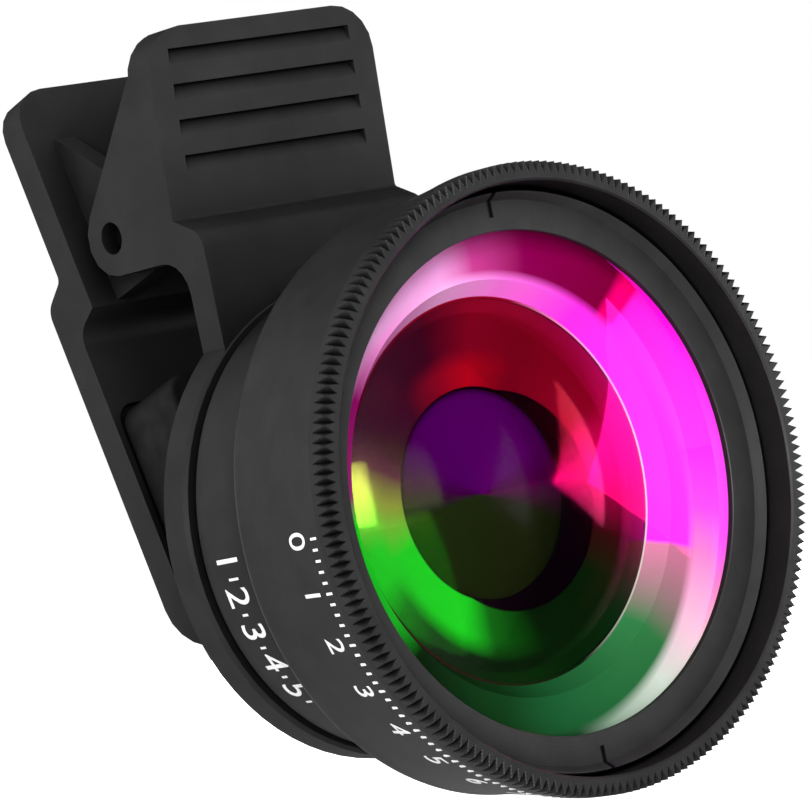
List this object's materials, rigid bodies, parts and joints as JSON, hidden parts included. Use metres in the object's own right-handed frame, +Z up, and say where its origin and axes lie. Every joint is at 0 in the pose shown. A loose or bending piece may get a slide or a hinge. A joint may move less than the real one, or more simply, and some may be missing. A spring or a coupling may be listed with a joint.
{
  "type": "clip-on phone lens",
  "caption": "Clothes-peg clip with a macro lens screwed into its front jaw and a notched-rim wide-angle lens screwed onto that.",
  "frame": {"origin": "on the lens axis, on the face of the soft ring that meets the phone", "axes": "+Y from the lens towards the phone (the lens looks along -Y), +Z up towards the thumb plates, X across the clip along the hinge pin"},
  "size_m": [0.039, 0.0378, 0.0524],
  "materials": {
    "clip_plastic": "black, fine moulded grain",
    "soft_rubber": "matt black",
    "spring_steel": "plain steel",
    "barrel_black": "black anodised, satin",
    "coated_glass": "polished with magenta and green coatings",
    "clear_glass": "polished"
  },
  "bodies": {
    "front_jaw": {"front_jaw": "clip_plastic", "front_pad": "soft_rubber", "hinge_pin": "spring_steel", "torsion_spring": "spring_steel"},
    "rear_jaw": {"rear_jaw": "clip_plastic", "rear_pad": "soft_rubber"},
    "macro_lens": {"macro_barrel": "barrel_black", "macro_rear_element": "clear_glass", "macro_spacer": "barrel_black", "macro_front_element": "clear_glass", "macro_retaining_ring": "barrel_black"},
    "wide_lens": {"wide_barrel": "barrel_black", "front_element": "coated_glass", "front_retaining_ring": "barrel_black", "front_gasket": "soft_rubber", "light_baffle": "barrel_black", "middle_element": "clear_glass", "wide_spacer": "barrel_black", "rear_element": "clear_glass", "rear_retaining_ring": "barrel_black"}
  },
  "joints": [
    {"name": "clip_hinge", "type": "hinge", "parent": "front_jaw", "child": "rear_jaw", "pos_m": [0, 0.0057, 0.0207], "axis": [1, 0, 0], "range_deg": [0, 40], "stiffness_Nm_per_rad": 0.03, "springref_deg": -34.38, "deforming": ["torsion_spring"]},
    {"name": "macro_thread", "type": "slide", "parent": "front_jaw", "child": "macro_lens", "axis": [0, -1, 0], "range_m": [0, 0.012]},
    {"name": "wide_thread", "type": "slide", "parent": "macro_lens", "child": "wide_lens", "axis": [0, -1, 0], "range_m": [0, 0.012]}
  ]
}
